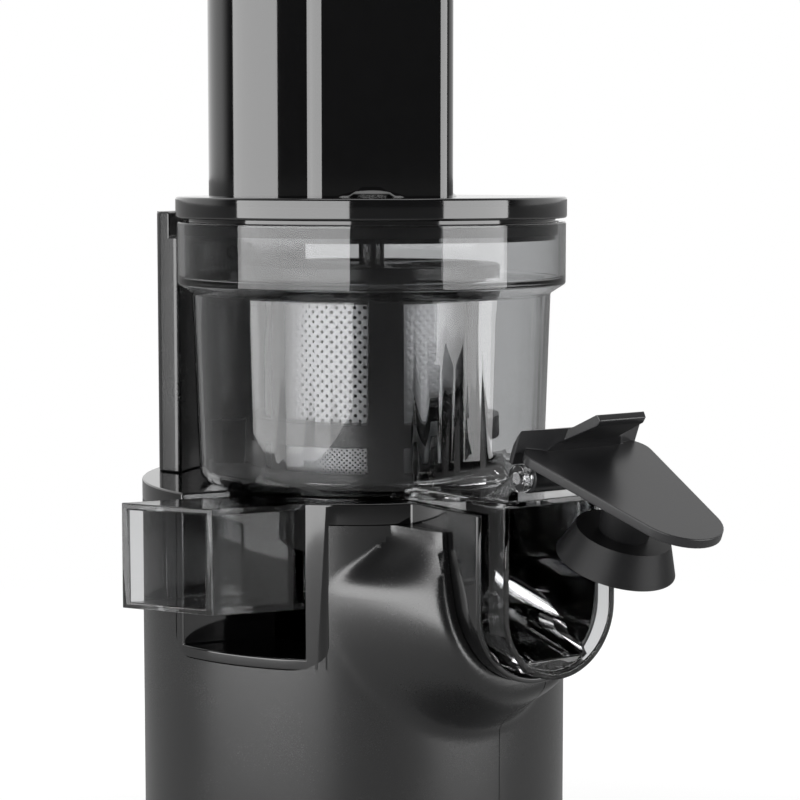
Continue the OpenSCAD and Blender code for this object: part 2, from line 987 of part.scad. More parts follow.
module gearbox_screws() {
    color("silver")
        at_axis()
            for (i = [0:3])
                rotate([0, 0, 45 + 90 * i])
                    translate([cover_screw_place, 0, gear_cover_z])
                        cylinder(r = cover_screw_r, h = gear_cover_t);
}

module output_bearing() {
    color("silver")
        at_axis()
            translate([0, 0, bearing_z])
                tube(bearing_r, shaft_r + shaft_fit, bearing_h);
}

module shaft_seal() {
    color("#5a2a22")
        at_axis()
            translate([0, 0, cup_z])
                tube(hub_r - cup_floor, shaft_r + shaft_fit, hub_h - shaft_wear);
}

// Outline of the bowl's wall, with the corner at the deck rounded
foot_round = 4;
round_steps = 5;
collar_slope = 3;
function quarter(cx, cy, r, from) = [
    for (i = [0:round_steps])
        let (a = from + 90 * i / round_steps)
        [cx + r * cos(a), cy + r * sin(a)]
];

module bowl_profile() {
    foot_z = deck_z + rest_gap;
    low = deck_z + collar_low;
    top = collar_z;
    inner_foot = bowl_foot_r - bowl_wall;
    inner_top = bowl_top_r - bowl_wall;
    inner_round = foot_round - bowl_wall / 2;
    polygon(concat(
        [[bowl_bore_r, well_z], [well_r + bowl_wall, well_z], [well_r + bowl_wall, foot_z]],
        quarter(bowl_foot_r - foot_round, foot_z + foot_round, foot_round, -90),
        [
            [bowl_top_r, low],
            [collar_r, low + collar_slope],
            [collar_r, top],
            [collar_in, top],
            [collar_in, low + collar_slope + bowl_wall],
            [inner_top, low + bowl_wall / 2],
            [inner_foot, floor_z + inner_round],
            [inner_foot - inner_round, floor_z],
            [well_r, floor_z],
            [well_r, well_z + bowl_wall],
            [bowl_bore_r, well_z + bowl_wall],
        ]
    ));
}

ramp_top_share = 0.62;
ramp_low_share = 0.12;

module bowl() {
    duct_in = well_r + bowl_wall;
    drop_out = bowl_foot_r - bowl_wall - foot_round;
    color("#4b4f5478")
        union() {
            difference() {
                union() {
                    at_axis()
                        rotate_extrude()
                            bowl_profile();
                    pulp_prism(0, well_z, well_z + pulp_h, pulp_reach);
                    difference() {
                        spout_prism(0, well_r, spout_out);
                        at_axis()
                            translate([0, 0, floor_z])
                                cylinder(r = bowl_foot_r - bowl_wall, h = deck_z);
                    }
                }
                at_axis()
                    translate([0, 0, well_z + bowl_wall])
                        cylinder(r = well_r, h = well_deep);
                pulp_prism(-pulp_wall, well_z + pulp_wall, well_z + pulp_h - pulp_wall,
                    pulp_reach + base_r);
                spout_prism(-spout_wall, bowl_foot_r - bowl_wall, spout_out + over);
                difference() {
                    spout_prism(-spout_wall, duct_in, bowl_foot_r);
                    at_axis()
                        translate([0, 0, deck_z])
                            cylinder(r = bowl_foot_r, h = deck_z);
                }
                intersection() {
                    spout_prism(-spout_wall, duct_in + bowl_wall, drop_out);
                    at_axis()
                        translate([0, 0, deck_z - over])
                            cylinder(r = drop_out, h = bowl_floor + 2 * over);
                }
                at_axis()
                    translate([0, 0, well_z - over])
                        cylinder(r = bowl_bore_r, h = bowl_wall + 2 * over);
            }
            intersection() {
                spout_prism(-spout_wall / 2, duct_in, spout_out);
                ramp();
            }
            hinge_ears();
        }
}

// The sloping floor inside the juice spout
module ramp() {
    inner_in = well_r + bowl_wall / 2;
    low = deck_z - spout_deep;
    at_juice()
        translate([-spout_half, 0, 0])
            rotate([90, 0, 90])
                linear_extrude(2 * spout_half)
                    polygon([
                        [-inner_in, low],
                        [-spout_out + spout_wall, low],
                        [-spout_out + spout_wall, low + spout_deep * ramp_low_share],
                        [-inner_in, low + spout_deep * ramp_top_share],
                    ]);
}

ear_t = 3;
ear_r = 4;
cap_pin_r = 1.6;
ear_place = spout_half - ear_t;

module at_hinge() {
    at_juice()
        translate([0, -hinge_out, deck_z + hinge_up])
            children();
}

module hinge_ears() {
    low = deck_z + spout_top;
    at_juice()
        for (side = [-1, 1])
            difference() {
                union() {
                    translate([side * ear_place - ear_t / 2, -hinge_out, deck_z + hinge_up])
                        rotate([0, 90, 0])
                            cylinder(r = ear_r, h = ear_t);
                    translate([side * ear_place - ear_t / 2, 0, 0])
                        rotate([90, 0, 90])
                            linear_extrude(ear_t)
                                polygon([
                                    [-hinge_out + cap_t / 2 + run_gap, deck_z + hinge_up],
                                    [-hinge_out + ear_r, deck_z + hinge_up],
                                    [-spout_out + 3 * ear_r, low],
                                    [-spout_out + spout_wall, low - spout_wall / 2],
                                    [-spout_out, low - spout_wall / 2],
                                ]);
                }
                translate([side * ear_place - ear_t, -hinge_out, deck_z + hinge_up])
                    rotate([0, 90, 0])
                        cylinder(r = cap_pin_r, h = 2 * ear_t);
            }
}

module bowl_seal() {
    color("#555a5e")
        at_axis()
            translate([0, 0, well_z])
                tube(bowl_bore_r, neck_r + shaft_fit, bowl_wall);
}

rib_w = 4;
top_ring_h = 6;
foot_ring_h = 2.5;
mesh_in = strainer_r - strainer_wall;

module strainer_ring(z, h) {
    translate([0, 0, z])
        tube(strainer_r, mesh_in - mesh_t, h);
}

fine_z = floor_z + foot_ring_h;
band_z = fine_z + fine_h;
coarse_z = band_z + band_h;
coarse_top = floor_z + strainer_h - top_ring_h;

module strainer_frame() {
    color("#26282a")
        at_axis()
            union() {
                strainer_ring(floor_z, foot_ring_h);
                strainer_ring(band_z, band_h);
                strainer_ring(coarse_top, top_ring_h);
                translate([0, 0, floor_z])
                    intersection() {
                        tube(strainer_r, mesh_in, strainer_h);
                        for (i = [0:rib_n - 1])
                            rotate([0, 0, 360 * (i + 1 / 2) / rib_n + juice_az])
                                block([-rib_w / 2, 0, 0], [rib_w / 2, 2 * strainer_r, strainer_h]);
                    }
            }
}

module mesh_coarse() {
    color("#c3c6c8")
        at_axis()
            translate([0, 0, coarse_z])
                tube(mesh_in, mesh_in - mesh_t, coarse_top - coarse_z);
}

module mesh_fine() {
    color("#c3c6c8")
        at_axis()
            translate([0, 0, fine_z])
                tube(mesh_in, mesh_in - mesh_t, fine_h);
}

wiper_turn = 12;
post_w = 11;
wiper_ring_h = 3;
spider_h = 4;
spider_w = 7;
wiper_low = floor_z + 2 * run_gap;
spider_z = floor_z + strainer_h + 2 * run_gap;
wiper_hub_r = neck_r + 2;
wiper_out = wiper_in + wiper_t;
drive_af = 14;

module wiper_frame() {
    color("#232527")
        at_axis()
            rotate([0, 0, wiper_turn])
                union() {
                    translate([0, 0, wiper_low])
                        tube(wiper_out, wiper_in, wiper_ring_h);
                    translate([0, 0, band_z])
                        tube(wiper_out, wiper_in, band_h);
                    translate([0, 0, spider_z])
                        tube(wiper_out, wiper_in - wiper_t, spider_h);
                    intersection() {
                        translate([0, 0, wiper_low])
                            tube(wiper_out, wiper_in, spider_z - wiper_low + spider_h);
                        for (i = [0:post_n - 1])
                            rotate([0, 0, 360 * i / post_n])
                                block([-post_w / 2, -2 * wiper_out, 0], [post_w / 2, 0, lid_z]);
                    }
                    translate([0, 0, spider_z])
                        linear_extrude(spider_h)
                            difference() {
                                union() {
                                    circle(r = wiper_hub_r);
                                    for (i = [0:post_n - 1])
                                        rotate([0, 0, 360 * i / post_n])
                                            translate([-spider_w / 2, -wiper_in])
                                                square([spider_w, wiper_in]);
                                }
                                hexagon(drive_af + 2 * shaft_fit);
                            }
                }
}

blade_t = 2.4;
paddle_h = 14;
paddle_turn = 28;
blade_gap = 0.3;
module wiper_blades() {
    reach = bowl_foot_r - bowl_wall - 3 * blade_gap - foot_round / 4;
    color("#4a4c50")
        at_axis()
            rotate([0, 0, wiper_turn]) {
                for (i = [0:post_n - 1])
                    rotate([0, 0, 360 * i / post_n]) {
                        rotate([0, 0, paddle_turn])
                            translate([0, 0, wiper_low + foot_round / 2])
                                block([-blade_t, -reach, 0],
                                    [blade_t, -wiper_out - blade_gap / 4, paddle_h]);
                    }
                for (i = [0:post_n - 1])
                    rotate([0, 0, 360 * i / post_n])
                        intersection() {
                            translate([0, 0, coarse_z])
                                tube(wiper_in, strainer_r + blade_gap, coarse_top - coarse_z);
                            block([-blade_t / 2, -2 * wiper_in, 0], [blade_t / 2, 0, lid_z]);
                        }
            }
}

auger_z = well_z + bowl_wall + run_gap;
auger_top = spider_z - head_room;
auger_h = auger_top - auger_z;
flight_share = 0.28;
flight_tip_turn = 5.6;
flight_slices = 44;
core_top_share = 0.72;
pin_top_r = 4;

module flight_outline() {
    steps = 4;
    for (i = [0:flight_n - 1])
        rotate([0, 0, 360 * i / flight_n])
            polygon([
                [auger_core_r * core_top_share / 2, -auger_core_r * core_top_share / 2],
                [auger_r, -auger_r * flight_share / 3],
                [auger_r * cos(flight_tip_turn), auger_r * sin(flight_tip_turn)],
                [auger_core_r * core_top_share / 2, auger_core_r * core_top_share / 2],
            ]);
}

module auger() {
    socket = hex_af / sqrt(3) + shaft_wear;
    color("#2b2d2f")
        at_axis()
            difference() {
                union() {
                    translate([0, 0, auger_z])
                        linear_extrude(auger_h, twist = flight_twist, slices = flight_slices, $fn = 16)
                            flight_outline();
                    translate([0, 0, auger_z])
                        cylinder(r1 = auger_core_r, r2 = auger_core_r * core_top_share, h = auger_h);
                    translate([0, 0, well_z - shaft_wear])
                        cylinder(r = neck_r, h = auger_z - well_z + shaft_wear + over);
                    translate([0, 0, auger_top - over])
                        linear_extrude(spider_z + spider_h - auger_top + over)
                            rotate(wiper_turn)
                                hexagon(drive_af);
                    translate([0, 0, spider_z])
                        cylinder(r = pin_top_r, h = plate_z - run_gap - spider_z);
                }
                translate([0, 0, well_z - 2 * shaft_wear])
                    cylinder(r = socket, h = hex_top + shaft_wear - well_z + 2 * shaft_wear);
            }
}

module auger_socket() {
    socket = hex_af / sqrt(3) + shaft_wear;
    color("silver")
        at_axis()
            difference() {
                translate([0, 0, well_z - shaft_wear])
                    cylinder(r = socket, h = hex_top + 2 * shaft_wear - well_z);
                translate([0, 0, well_z - 2 * shaft_wear])
                    linear_extrude(hex_top - well_z + 2 * shaft_wear + run_gap)
                        hexagon(hex_af + 2 * socket_gap);
            }
}

// Plan of the chute, shrunk for its bore and for the pusher
chute_corner = 6;
module chute_plan(inset) {
    translate([chute_x, 0])
        circle(r = chute_r - inset);
    rounded_rect([chute_x + chute_corner + inset * 2, -chute_box_y + inset],
        [chute_box_x - inset, chute_box_y - inset], chute_corner - inset / 2);
}

module at_chute(z) {
    at_axis()
        rotate([0, 0, chute_turn])
            translate([0, chute_back, z])
                children();
}
chute_turn = 6;
chute_back = 1;

lid_boss_h = 2.8;
lid_boss_r = 27;
lid_boss_slope = 3;
spigot_t = 2;
spigot_h = 10;
spigot_gap = 1.1;
bush_r = 6.4;
bush_h = 7;
bridge_w = 6;
lug_w = 12;
lug_reach = 4;

module lid() {
    spigot_r = collar_in - spigot_gap;
    color("#0d0d0e")
        difference() {
            union() {
                at_axis() {
                    translate([0, 0, plate_z])
                        cylinder(r = lid_r, h = lid_t);
                    translate([0, 0, lid_rim_z])
                        tube(lid_r, lid_r - bowl_wall, lid_rim_h);
                    translate([0, 0, plate_z - spigot_h])
                        tube(spigot_r, spigot_r - spigot_t, spigot_h + over);
                    translate([0, 0, lid_z - over])
                        cylinder(r1 = lid_boss_r + over, r2 = lid_boss_r - lid_boss_slope,
                            h = lid_boss_h + over);
                }
                at_chute(plate_z)
                    linear_extrude(chute_h + lid_t)
                        chute_plan(0);
                at_tower()
                    block([-lug_w / 2, -lid_r - lug_reach, lid_rim_z],
                        [lug_w / 2, -lid_r + over, lid_z - over]);
            }
            at_chute(plate_z - over)
                linear_extrude(chute_h + lid_t + 2 * over)
                    chute_plan(chute_wall);
        }
    color("#0d0d0e")
        difference() {
            union() {
                at_axis()
                    translate([0, 0, plate_z - bush_h])
                        cylinder(r = bush_r + chute_wall, h = bush_h + lid_t);
                at_chute(plate_z - bush_h)
                    block([-bridge_w / 2, 0, 0], [bridge_w / 2, chute_box_y, bush_h + lid_t]);
            }
            at_axis()
                translate([0, 0, plate_z - bush_h - over])
                    cylinder(r = bush_r, h = bush_h + over);
        }
}

module lid_seal() {
    spigot_r = collar_in - spigot_gap;
    seal_h = 3;
    color("#7b7f83")
        at_axis()
            translate([0, 0, plate_z - spigot_h + seal_h / 2])
                tube(collar_in - seat_gap, spigot_r, seal_h);
}

module lid_bush() {
    color("#b9bcc0")
        at_axis()
            translate([0, 0, plate_z - bush_h])
                tube(bush_r, pin_top_r + shaft_fit, bush_h);
}

pusher_gap = 0.7;
pusher_low = 12;
pusher_wall = 2;
grip_h = 22;
grip_cap_t = 3;
flange_t = 3;

module pusher() {
    low = lid_z + pusher_low;
    color("#121213")
        difference() {
            union() {
                at_chute(low)
                    linear_extrude(chute_z - low + grip_h - grip_cap_t)
                        chute_plan(chute_wall + pusher_gap);
                at_chute(chute_z)
                    linear_extrude(flange_t)
                        chute_plan(0);
            }
            at_chute(low + pusher_wall)
                linear_extrude(chute_h + grip_h)
                    chute_plan(chute_wall + pusher_gap + pusher_wall);
        }
}

module pusher_cap() {
    top = chute_z + grip_h;
    color("#121213")
        at_chute(top - grip_cap_t)
            linear_extrude(grip_cap_t)
                chute_plan(chute_wall + pusher_gap);
}

// The juice cap, drawn with its plate along -Y at the hinge and then turned to its rest pose
cap_tip_r = 13;
cap_side_r = 6;
knuckle_r = 4.4;
knuckle_gap = 0.5;
lever_len = 13.7;
lever_t = 3.4;
lever_up = 16;
strap_t = 1.7;
plate_top = cap_rise + cap_t / 2;

module at_cap() {
    at_hinge()
        rotate([cap_open, 0, 0])
            children();
}

module cap_plan() {
    half = cap_w / 2;
    hull() {
        translate([half - cap_side_r, -cap_side_r])
            circle(r = cap_side_r, $fn = 32);
        translate([-half + cap_side_r, -cap_side_r])
            circle(r = cap_side_r, $fn = 32);
        translate([0, -cap_len + cap_tip_r])
            circle(r = cap_tip_r, $fn = 48);
    }
}

module juice_cap() {
    knuckle_half = ear_place - ear_t / 2 - knuckle_gap;
    color("#242526")
        at_cap()
            difference() {
                union() {
                    translate([0, 0, cap_rise - cap_t / 2])
                        linear_extrude(cap_t)
                            cap_plan();
                    translate([-knuckle_half, 0, 0])
                        rotate([0, 90, 0])
                            cylinder(r = knuckle_r, h = 2 * knuckle_half);
                    block([-knuckle_half, 0, 0], [knuckle_half, strap_t, plate_top]);
                    cap_lever();
                }
                translate([-cap_w, 0, 0])
                    rotate([0, 90, 0])
                        cylinder(r = cap_pin_r + shaft_fit, h = 2 * cap_w);
            }
}

// Strap behind the plate's end and the thumb lever that rises from it, narrowing to its tip
lever_rise_shares = [0.2, 0.32, 0.53, 0.38, 0.18];
lever_run_shares = [0.47, 0.55, 0.31, 0.22];
tip_share = 0.9;
module cap_lever() {
    foot = ear_r + run_gap;
    rise = [for (k = lever_rise_shares) plate_top + lever_up * k];
    run = [for (k = lever_run_shares) -lever_len * k];
    tip_z = plate_top + lever_up;
    intersection() {
        translate([-cap_w / 2, 0, 0])
            rotate([90, 0, 90])
                linear_extrude(cap_w)
                    polygon([
                        [strap_t, foot],
                        [strap_t, plate_top],
                        [strap_t / 2, rise[0]],
                        [0, rise[1]],
                        [run[0], rise[2]],
                        [-lever_len, tip_z],
                        [-lever_len - lever_t / 2, tip_z - lever_t / 3],
                        [-lever_len - lever_t / 3, tip_z - lever_t * tip_share],
                        [run[1], rise[3]],
                        [run[2], rise[4]],
                        [run[3], plate_top],
                        [run[3], cap_rise],
                        [0, cap_rise],
                        [0, foot],
                    ]);
        linear_extrude(tip_z + over)
            polygon(concat(lever_side(1), [for (i = [4:-1:0]) lever_side(-1)[i]]));
    }
}

// One side of the lever's plan, from the strap to the tip
function lever_side(side) = [
    [side * cap_w / 2, strap_t + over],
    [side * cap_w / 2, 0],
    [side * (cap_w + lever_w) / 4, run_share(0)],
    [side * lever_w * side_share, run_share(1)],
    [side * lever_w / 2, -lever_len - lever_t],
];
side_share = 0.62;
plan_shares = [0.16, 0.4];
function run_share(i) = -lever_len * plan_shares[i];

module cap_pin() {
    color("silver")
        at_hinge()
            translate([-ear_place - ear_t / 2, 0, 0])
                rotate([0, 90, 0])
                    cylinder(r = cap_pin_r, h = 2 * ear_place + ear_t);
}

stopper_neck_r = 7;
stopper_neck_h = 12;
stopper_skirt_h = 9;
stopper_crown_r = 13.5;
stopper_wall = 2.4;
stopper_centre = 27;

// Silicone plug below the plate: a neck, and a hollow hat that flares to its rim
module cap_stopper() {
    inside = stopper_skirt_h - stopper_wall;
    color("#3c3e41")
        at_cap()
            translate([0, -stopper_centre, cap_rise - cap_t / 2])
                rotate([180, 0, 0]) {
                    cylinder(r1 = stopper_neck_r * 1.2, r2 = stopper_neck_r, h = stopper_neck_h);
                    translate([0, 0, stopper_neck_h - over / 2])
                        difference() {
                            cylinder(r1 = stopper_crown_r, r2 = stopper_r, h = stopper_skirt_h);
                            translate([0, 0, stopper_wall])
                                cylinder(r1 = stopper_crown_r - stopper_wall, r2 = stopper_r - stopper_wall,
                                    h = inside);
                            translate([0, 0, stopper_skirt_h - over / 4])
                                cylinder(r = stopper_r - stopper_wall, h = over);
                        }
                }
}

feet();
bottom_cover();
bottom_screws();
shell_front();
shell_rear();
deck();
tower_shell();
tower_trim();
lock_plunger();
plunger_spring();
lock_switch();
control_board();
cord_inlet();
switch_bezel();
rocker();
motor_can();
motor_endcap();
motor_bearings();
rotor();
sun_gear();
planet_1();
planet_2();
planet_3();
carrier();
planet_pins();
gearbox_housing();
gearbox_cover();
gearbox_screws();
output_bearing();
shaft_seal();
bowl();
bowl_seal();
strainer_frame();
mesh_coarse();
mesh_fine();
wiper_frame();
wiper_blades();
auger();
auger_socket();
lid();
lid_seal();
lid_bush();
pusher();
pusher_cap();
juice_cap();
cap_pin();
cap_stopper();
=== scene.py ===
import json
import math

import bmesh
import bpy
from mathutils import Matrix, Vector

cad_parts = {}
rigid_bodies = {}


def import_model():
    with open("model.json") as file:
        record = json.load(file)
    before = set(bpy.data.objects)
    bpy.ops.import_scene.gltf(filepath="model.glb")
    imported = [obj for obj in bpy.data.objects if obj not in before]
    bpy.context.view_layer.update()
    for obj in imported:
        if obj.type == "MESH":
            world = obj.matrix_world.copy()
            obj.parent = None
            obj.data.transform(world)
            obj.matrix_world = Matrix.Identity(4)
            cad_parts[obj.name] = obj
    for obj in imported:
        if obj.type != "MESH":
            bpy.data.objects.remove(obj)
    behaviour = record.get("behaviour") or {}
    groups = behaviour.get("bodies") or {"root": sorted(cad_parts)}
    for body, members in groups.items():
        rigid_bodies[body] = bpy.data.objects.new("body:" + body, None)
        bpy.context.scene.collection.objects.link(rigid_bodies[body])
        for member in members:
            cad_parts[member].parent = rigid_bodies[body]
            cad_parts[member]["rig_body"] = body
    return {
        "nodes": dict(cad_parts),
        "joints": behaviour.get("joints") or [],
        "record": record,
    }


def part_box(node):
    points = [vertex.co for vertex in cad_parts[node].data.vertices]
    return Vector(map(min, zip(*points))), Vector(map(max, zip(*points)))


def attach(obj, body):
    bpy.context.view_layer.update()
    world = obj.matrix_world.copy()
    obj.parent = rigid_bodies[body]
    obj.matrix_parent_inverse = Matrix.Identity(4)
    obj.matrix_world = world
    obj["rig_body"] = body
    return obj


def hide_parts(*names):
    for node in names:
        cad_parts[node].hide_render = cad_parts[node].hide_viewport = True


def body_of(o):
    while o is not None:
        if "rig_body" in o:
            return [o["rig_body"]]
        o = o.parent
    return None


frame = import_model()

bl_info = {
    "name": "Cold Press Juicer",
    "version": (1, 0, 0),
    "blender": (4, 5, 0),
    "location": "View3D > Sidebar > Juicer",
    "description": "Dresses the packed slow juicer with its modelled pieces, finishes and studio",
    "category": "Object",
}

MM = 0.001
UP = Vector((0, 0, 1))
JOINTS = {joint["name"]: joint for joint in frame["joints"]}
NODES = frame["nodes"]
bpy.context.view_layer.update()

# What the pieces share: the bowl's axis, the directions of the two spouts, and the base's sizes
AXIS = Vector((*JOINTS["auger_spin"]["pos_m"][:2], 0))
JUICE_SIDE = Vector(JOINTS["cap_hinge"]["axis"])
JUICE_OUT = Vector((JUICE_SIDE.y, -JUICE_SIDE.x, 0))
DECK_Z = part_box("deck")[1][2]
LID_Z = JOINTS["lid_turn"]["pos_m"][2] + 3 * MM
COVER_LOW, COVER_HIGH = (Vector(corner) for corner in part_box("bottom_cover"))
BASE = Vector(((COVER_LOW.x + COVER_HIGH.x) / 2, (COVER_LOW.y + COVER_HIGH.y) / 2, 0))
SHELL_LOW, SHELL_HIGH = (Vector(corner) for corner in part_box("shell_front"))
BASE_R = BASE.x - SHELL_LOW.x
PULP_TURN = math.radians(61)
PULP_OUT = Vector((-math.sin(PULP_TURN), -math.cos(PULP_TURN), 0))
PULP_SIDE = Vector((math.cos(PULP_TURN), -math.sin(PULP_TURN), 0))

# The nose of the shell below the juice spout: its U, how far it stands out, and its chin
U_CENTRE_Z = DECK_Z - 28 * MM
NOSE_HALF = 25.6 * MM
NOSE_OUT = 71 * MM
CHIN_OUT = 8 * MM
CHIN_TOP_Z = DECK_Z - 6 * MM
CHIN_DROP = 44 * MM
RIM_FADE = 20 * MM
RIM_SHARE = 0.12
SHELL_ROWS, SHELL_TURNS = 118, 300

# The openings in the shell: the juice slot's U, the pulp notch's box, and the parting line
SLOT_HALF = 23.3 * MM
NOTCH_SIDES = (6.3 * MM, 49.3 * MM)
NOTCH_HEIGHTS = (149 * MM, 230 * MM)
NOTCH_CORNER = 7 * MM
PARTING_SIDE = 7 * MM
PARTING_HALF = 0.12 * MM
PAST_ALL = 200 * MM

# The strainer's perforation: windows round the axis, the edge of one, and the share that is open
SIEVE_WINDOWS = 4
SIEVE_EDGE = math.radians(-124)
SIEVE_OPEN = 0.42
CELLS_ABOVE_ZERO = 1000.0

# The photograph's frame: its size, and where the bowl's axis and the horizon lie in it
FRAME_PX = 800
AXIS_PX, HORIZON_PX = 371.5, 172
FOCAL_PX = 2349.5
EYE_OVER_LID = 7.6 * MM
SENSOR = 36


def along(point, direction):
    """How far a point lies from the bowl's axis along a level direction."""
    return (point - AXIS).dot(direction)


# Properties

class JuicerFinish(bpy.types.PropertyGroup):
    """Colours and surface of the juicer's finishes."""

    shell_colour: bpy.props.FloatVectorProperty(
        name="Shell", description="Colour of the matte shell", subtype="COLOR",
        default=(0.006, 0.0061, 0.0063), min=0, max=1)
    gloss_colour: bpy.props.FloatVectorProperty(
        name="Gloss", description="Colour of the gloss plastic", subtype="COLOR",
        default=(0.0028, 0.0028, 0.003), min=0, max=1)
    smoke_colour: bpy.props.FloatVectorProperty(
        name="Smoke", description="Tint of the clear bowl", subtype="COLOR",
        default=(0.60, 0.605, 0.61), min=0, max=1)
    grain_scale: bpy.props.FloatProperty(
        name="Grain", description="Grains of the matte shell to a metre", default=2600, min=100)
    shell_rough: bpy.props.FloatProperty(
        name="Shell roughness", description="Roughness of the matte shell", default=0.25, min=0, max=1)


class JuicerSizes(bpy.types.PropertyGroup):
    """Sizes of what is modelled over the frame."""

    edge_round: bpy.props.FloatProperty(
        name="Edge", description="Round of a moulded edge", default=0.7 * MM, min=0, unit="LENGTH")
    nose_blend: bpy.props.FloatProperty(
        name="Nose blend", description="Width of the hollow round the nose", default=19 * MM, min=0,
        unit="LENGTH")
    shell_wall: bpy.props.FloatProperty(
        name="Shell wall", description="Wall of the base shell", default=2.6 * MM, min=0, unit="LENGTH")


class JuicerStudio(bpy.types.PropertyGroup):
    """Camera and lamps of the studio."""

    camera_distance: bpy.props.FloatProperty(
        name="Distance", description="From the camera to the bowl's axis", default=740 * MM, min=0,
        unit="LENGTH")
    camera_turn: bpy.props.FloatProperty(
        name="Turn", description="Turn of the camera round the bowl's axis", default=math.radians(6),
        subtype="ANGLE")
    left_power: bpy.props.FloatProperty(
        name="Left", description="Power of the left softbox", default=18, min=0, unit="POWER")
    right_power: bpy.props.FloatProperty(
        name="Right", description="Power of the right softbox", default=10, min=0, unit="POWER")
    top_power: bpy.props.FloatProperty(
        name="Top", description="Power of the top softbox", default=4, min=0, unit="POWER")


# Node helpers

# Sockets of a Mix node that hold its colours: the node has others of the same names
COLOUR_A, COLOUR_B, COLOUR_RESULT = 6, 7, 2


def add_node(tree, kind, place=(0, 0), **values):
    """A node with its settings and unlinked inputs, named by the socket or numbered."""
    made = tree.nodes.new(kind)
    made.location = place
    for key, value in values.items():
        if key.startswith("in_"):
            made.inputs[int(key[3:])].default_value = value
        else:
            setattr(made, key, value)
    return made


def maths(tree, operation, first, second=None, third=None):
    """One Math node; each operand is a socket or a number."""
    made = tree.nodes.new("ShaderNodeMath")
    made.operation = operation
    for slot, operand in enumerate((first, second, third)):
        if operand is None:
            continue
        if isinstance(operand, (int, float)):
            made.inputs[slot].default_value = operand
        else:
            tree.links.new(operand, made.inputs[slot])
    return made.outputs[0]


def new_group(name, inputs, outputs):
    """An empty shader group with named sockets, and its input and output nodes."""
    tree = bpy.data.node_groups.new(name, "ShaderNodeTree")
    for socket, kind, value in inputs:
        made = tree.interface.new_socket(name=socket, in_out="INPUT", socket_type=kind)
        if value is not None:
            made.default_value = value
    for socket, kind in outputs:
        tree.interface.new_socket(name=socket, in_out="OUTPUT", socket_type=kind)
    return tree, tree.nodes.new("NodeGroupInput"), tree.nodes.new("NodeGroupOutput")


def grain_group():
    """Fine moulded grain with a slow variation: a height for Bump, a roughness and a tone."""
    name = "moulded_grain"
    if name in bpy.data.node_groups:
        return bpy.data.node_groups[name]
    tree, given, out = new_group(name, (
        ("Scale", "NodeSocketFloat", 2600.0),
        ("Rough", "NodeSocketFloat", 0.4),
        ("Spread", "NodeSocketFloat", 0.05),
    ), (("Height", "NodeSocketFloat"), ("Roughness", "NodeSocketFloat"), ("Tone", "NodeSocketFloat")))
    where = add_node(tree, "ShaderNodeTexCoord")
    fine = add_node(tree, "ShaderNodeTexNoise", in_3=2.0)
    slow = add_node(tree, "ShaderNodeTexNoise", in_2=45.0, in_3=2.0)
    tree.links.new(where.outputs["Object"], fine.inputs["Vector"])
    tree.links.new(where.outputs["Object"], slow.inputs["Vector"])
    tree.links.new(given.outputs["Scale"], fine.inputs["Scale"])
    both = maths(tree, "MULTIPLY_ADD", fine.outputs[0], 0.6, maths(tree, "MULTIPLY", slow.outputs[0], 0.4))
    around = maths(tree, "SUBTRACT", both, 0.5)
    wide = maths(tree, "MULTIPLY", around, given.outputs["Spread"])
    rough = maths(tree, "ADD", given.outputs["Rough"], maths(tree, "MULTIPLY", wide, 2.0))
    tree.links.new(fine.outputs[0], out.inputs["Height"])
    tree.links.new(rough, out.inputs["Roughness"])
    tree.links.new(both, out.inputs["Tone"])
    return tree


def sieve_group():
    """Holes in staggered rows round the bowl's axis: a mask that is 0 in a hole, and its rim."""
    name = "sieve_holes"
    if name in bpy.data.node_groups:
        return bpy.data.node_groups[name]
    tree, given, out = new_group(name, (
        ("Round", "NodeSocketFloat", 70.0),
        ("Pitch", "NodeSocketFloat", 0.003),
        ("Hole", "NodeSocketFloat", 0.2),
        ("Turn", "NodeSocketFloat", 0.0),
        ("Window", "NodeSocketFloat", SIEVE_OPEN),
    ), (("Mask", "NodeSocketFloat"), ("Rim", "NodeSocketFloat")))
    where = add_node(tree, "ShaderNodeTexCoord")
    shift = add_node(tree, "ShaderNodeVectorMath", operation="SUBTRACT")
    shift.inputs[1].default_value = AXIS
    tree.links.new(where.outputs["Object"], shift.inputs[0])
    parts = add_node(tree, "ShaderNodeSeparateXYZ")
    tree.links.new(shift.outputs[0], parts.inputs[0])
    angle = maths(tree, "ARCTAN2", parts.outputs[1], parts.outputs[0])
    turns = maths(tree, "DIVIDE", angle, 2 * math.pi)
    across = maths(tree, "MULTIPLY", turns, given.outputs["Round"])
    height = maths(tree, "DIVIDE", parts.outputs[2], given.outputs["Pitch"])

    def nearest(offset):
        """How far the nearest hole's middle lies, in cells."""
        squares = []
        for value in (across, height):
            cell = maths(tree, "FRACT", maths(tree, "ADD", value, CELLS_ABOVE_ZERO + offset))
            side = maths(tree, "ABSOLUTE", maths(tree, "SUBTRACT", cell, 0.5))
            squares.append(maths(tree, "POWER", side, 2.0))
        return maths(tree, "SQRT", maths(tree, "ADD", *squares))

    gap = maths(tree, "MINIMUM", nearest(0.0), nearest(0.5))
    windows = maths(tree, "MULTIPLY", turns, float(SIEVE_WINDOWS))
    within = maths(tree, "FRACT", maths(tree, "ADD", windows, given.outputs["Turn"]))
    plain = maths(tree, "GREATER_THAN", within, given.outputs["Window"])
    solid = maths(tree, "MAXIMUM", maths(tree, "GREATER_THAN", gap, given.outputs["Hole"]), plain)
    rim = maths(tree, "SMOOTH_MIN", gap, maths(tree, "ADD", given.outputs["Hole"], 0.08), 0.05)
    tree.links.new(solid, out.inputs["Mask"])
    tree.links.new(rim, out.inputs["Rim"])
    return tree


# Materials

